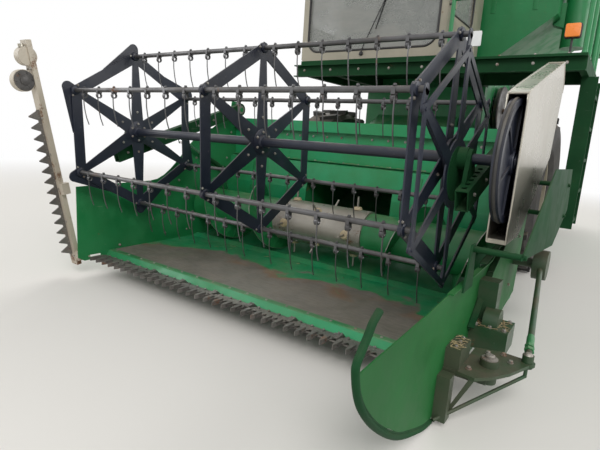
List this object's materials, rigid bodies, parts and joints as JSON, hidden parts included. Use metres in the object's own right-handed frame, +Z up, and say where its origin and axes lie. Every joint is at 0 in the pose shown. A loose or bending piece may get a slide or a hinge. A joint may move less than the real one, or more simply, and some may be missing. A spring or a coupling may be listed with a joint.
{
  "type": "combine harvester",
  "caption": "Self-propelled harvester that cuts, gathers and threshes crops, with a cab, a lifting header, a turning pick-up reel and a grain tank.",
  "frame": {"origin": "on the ground under the middle of the overall box of the machine", "axes": "+Z up, +Y to the machine's rear, +X to the machine's left side"},
  "size_m": [3.182, 8.0386, 3.59],
  "materials": {
    "green_paint": "gloss agricultural enamel, worn and dusty",
    "dark_green_paint": "dark green enamel, dusty",
    "olive_paint": "faded green enamel",
    "dark_blue_paint": "dark blue-black paint",
    "cream_paint": "beige-grey enamel",
    "worn_steel": "worn bare steel",
    "galvanised_sheet": "galvanised, dull and spotted",
    "ram_rod": "polished hard chrome",
    "cast_metal": "oily cast iron",
    "tyre_rubber": "dusty black rubber",
    "cab_glass": "dusty clear glass",
    "seat_cover": "black vinyl",
    "dark_plastic": "matt black"
  },
  "bodies": {
    "chassis": {"separator_body": "green_paint", "straw_hood": "green_paint", "grain_tank": "green_paint", "engine_block": "cast_metal", "engine_hood": "green_paint", "front_axle": "dark_green_paint", "rear_axle": "dark_green_paint", "cab_floor": "dark_green_paint", "cab_roof": "cream_paint", "cab_front": "cream_paint", "cab_right": "cream_paint", "cab_rear": "cream_paint", "cab_glass": "cab_glass", "cab_seat": "seat_cover", "steering_column": "dark_plastic", "platform": "dark_green_paint", "railing": "green_paint", "ladder": "dark_green_paint", "drive_guards": "green_paint", "belt_drives": "cast_metal", "lamps": "dark_plastic"},
    "door": {"cab_door": "cream_paint", "door_glass": "cab_glass"},
    "unloader": {"unloader_tube": "green_paint"},
    "front_wheel_left": {"front_tyre_left": "tyre_rubber", "front_rim_left": "cream_paint"},
    "front_wheel_right": {"front_tyre_right": "tyre_rubber", "front_rim_right": "cream_paint"},
    "rear_wheel_left": {"rear_tyre_left": "tyre_rubber", "rear_rim_left": "cream_paint"},
    "rear_wheel_right": {"rear_tyre_right": "tyre_rubber", "rear_rim_right": "cream_paint"},
    "left_knuckle": {"knuckle_left": "dark_green_paint"},
    "right_knuckle": {"knuckle_right": "dark_green_paint"},
    "steering_tie": {"tie_rod": "worn_steel"},
    "header": {"feeder_house": "green_paint", "header_table": "green_paint", "header_wall_left": "olive_paint", "header_wall_right": "green_paint", "cutter_bar": "worn_steel", "knife_drive": "dark_green_paint", "side_knife_post": "cream_paint", "header_guard": "dark_green_paint"},
    "knife_slide_body": {"knife": "worn_steel"},
    "side_knife_slide_body": {"side_knife_blade": "worn_steel"},
    "auger_rotor": {"auger": "green_paint"},
    "lift_barrel_pair": {"lift_barrels": "dark_green_paint"},
    "lift_rod_pair": {"lift_rods": "ram_rod"},
    "reel_barrel_pair": {"reel_barrels": "dark_green_paint"},
    "reel_rod_pair": {"reel_rods": "ram_rod"},
    "reel_carrier": {"reel_arms": "dark_green_paint", "reel_cover": "galvanised_sheet"},
    "reel": {"reel_frame": "dark_blue_paint"},
    "tine_control": {"reel_control": "dark_blue_paint"},
    "bar_1": {"tine_bar_1": "dark_blue_paint"},
    "bar_2": {"tine_bar_2": "dark_blue_paint"},
    "bar_3": {"tine_bar_3": "dark_blue_paint"},
    "bar_4": {"tine_bar_4": "dark_blue_paint"},
    "bar_5": {"tine_bar_5": "dark_blue_paint"},
    "bar_6": {"tine_bar_6": "dark_blue_paint"}
  },
  "joints": [
    {"name": "header_lift", "type": "hinge", "parent": "chassis", "child": "header", "pos_m": [-0.099, -0.196, 1.395], "axis": [-1, 0, 0], "range_deg": [0, 24]},
    {"name": "reel_lift", "type": "hinge", "parent": "header", "child": "reel_carrier", "pos_m": [-0.099, -1.581, 1.375], "axis": [-1, 0, 0], "range_deg": [-5, 25]},
    {"name": "reel_spin", "type": "hinge", "parent": "reel_carrier", "child": "reel", "pos_m": [-0.099, -2.794, 1.107], "axis": [1, 0, 0], "continuous": true},
    {"name": "tine_control_spin", "type": "hinge", "parent": "reel_carrier", "child": "tine_control", "pos_m": [-0.099, -2.814, 1.032], "axis": [1, 0, 0], "continuous": true},
    {"name": "bar_1_turn", "type": "hinge", "parent": "reel", "child": "bar_1", "pos_m": [-0.099, -2.81623, 1.66055], "axis": [1, 0, 0], "continuous": true},
    {"name": "bar_2_turn", "type": "hinge", "parent": "reel", "child": "bar_2", "pos_m": [-0.099, -3.28451, 1.36452], "axis": [1, 0, 0], "continuous": true},
    {"name": "bar_3_turn", "type": "hinge", "parent": "reel", "child": "bar_3", "pos_m": [-0.099, -3.26228, 0.81097], "axis": [1, 0, 0], "continuous": true},
    {"name": "bar_4_turn", "type": "hinge", "parent": "reel", "child": "bar_4", "pos_m": [-0.099, -2.77177, 0.55345], "axis": [1, 0, 0], "continuous": true},
    {"name": "bar_5_turn", "type": "hinge", "parent": "reel", "child": "bar_5", "pos_m": [-0.099, -2.30349, 0.84948], "axis": [1, 0, 0], "continuous": true},
    {"name": "bar_6_turn", "type": "hinge", "parent": "reel", "child": "bar_6", "pos_m": [-0.099, -2.32572, 1.40303], "axis": [1, 0, 0], "continuous": true},
    {"name": "auger_spin", "type": "hinge", "parent": "header", "child": "auger_rotor", "pos_m": [-0.099, -1.961, 0.47], "axis": [1, 0, 0], "continuous": true},
    {"name": "front_left_spin", "type": "hinge", "parent": "chassis", "child": "front_wheel_left", "pos_m": [1.001, -0.081, 0.74798], "axis": [1, 0, 0], "continuous": true},
    {"name": "front_right_spin", "type": "hinge", "parent": "chassis", "child": "front_wheel_right", "pos_m": [-1.199, -0.081, 0.74798], "axis": [1, 0, 0], "continuous": true},
    {"name": "steer_left", "type": "hinge", "parent": "chassis", "child": "left_knuckle", "pos_m": [0.591, 2.819, 0.44], "axis": [0, 0, 1], "range_deg": [-35, 35]},
    {"name": "steer_right", "type": "hinge", "parent": "chassis", "child": "right_knuckle", "pos_m": [-0.789, 2.819, 0.44], "axis": [0, 0, 1], "range_deg": [-35, 35]},
    {"name": "tie_slide", "type": "slide", "parent": "chassis", "child": "steering_tie", "axis": [-1, 0, 0], "range_m": [-0.11, 0.11]},
    {"name": "rear_left_spin", "type": "hinge", "parent": "left_knuckle", "child": "rear_wheel_left", "pos_m": [0.801, 2.819, 0.44], "axis": [1, 0, 0], "continuous": true},
    {"name": "rear_right_spin", "type": "hinge", "parent": "right_knuckle", "child": "rear_wheel_right", "pos_m": [-0.999, 2.819, 0.44], "axis": [1, 0, 0], "continuous": true},
    {"name": "door_swing", "type": "hinge", "parent": "chassis", "child": "door", "pos_m": [0.403, -0.3185, 2.64], "axis": [0, 0, 1], "range_deg": [0, 90]},
    {"name": "unloader_swing", "type": "hinge", "parent": "chassis", "child": "unloader", "pos_m": [1.181, 0.239, 2.88], "axis": [0, 0, -1], "range_deg": [0, 95]},
    {"name": "knife_stroke", "type": "slide", "parent": "header", "child": "knife_slide_body", "axis": [1, 0, 0], "range_m": [-0.038, 0.038]},
    {"name": "side_knife_stroke", "type": "slide", "parent": "header", "child": "side_knife_slide_body", "axis": [0, -0.1874, 0.9823], "range_m": [-0.025, 0.025]},
    {"name": "lift_barrel_tilt", "type": "hinge", "parent": "chassis", "child": "lift_barrel_pair", "pos_m": [-0.099, -0.201, 0.6], "axis": [-1, 0, 0], "range_deg": [-1, 25]},
    {"name": "lift_rod_stroke", "type": "slide", "parent": "lift_barrel_pair", "child": "lift_rod_pair", "axis": [0, -0.9818, -0.1897], "range_m": [-0.005, 0.335]},
    {"name": "reel_barrel_tilt", "type": "hinge", "parent": "header", "child": "reel_barrel_pair", "pos_m": [-0.099, -1.781, 0.8], "axis": [-1, 0, 0], "range_deg": [-5, 20]},
    {"name": "reel_rod_stroke", "type": "slide", "parent": "reel_barrel_pair", "child": "reel_rod_pair", "axis": [0, -0.8944, 0.4472], "range_m": [-0.06, 0.26]}
  ],
  "couplings": [
    {"joint": "lift_barrel_tilt", "follows": "header_lift", "ratio": 1.0124},
    {"joint": "lift_rod_stroke", "follows": "header_lift", "m_per_rad": 0.7912},
    {"joint": "reel_barrel_tilt", "follows": "reel_lift", "ratio": 0.767},
    {"joint": "reel_rod_stroke", "follows": "reel_lift", "m_per_rad": 0.5829},
    {"joint": "steer_right", "follows": "steer_left", "ratio": 1},
    {"joint": "tie_slide", "follows": "steer_left", "m_per_rad": 0.17},
    {"joint": "tine_control_spin", "follows": "reel_spin", "ratio": 1},
    {"joint": "bar_1_turn", "follows": "reel_spin", "ratio": -1},
    {"joint": "bar_2_turn", "follows": "reel_spin", "ratio": -1},
    {"joint": "bar_3_turn", "follows": "reel_spin", "ratio": -1},
    {"joint": "bar_4_turn", "follows": "reel_spin", "ratio": -1},
    {"joint": "bar_5_turn", "follows": "reel_spin", "ratio": -1},
    {"joint": "bar_6_turn", "follows": "reel_spin", "ratio": -1}
  ]
}
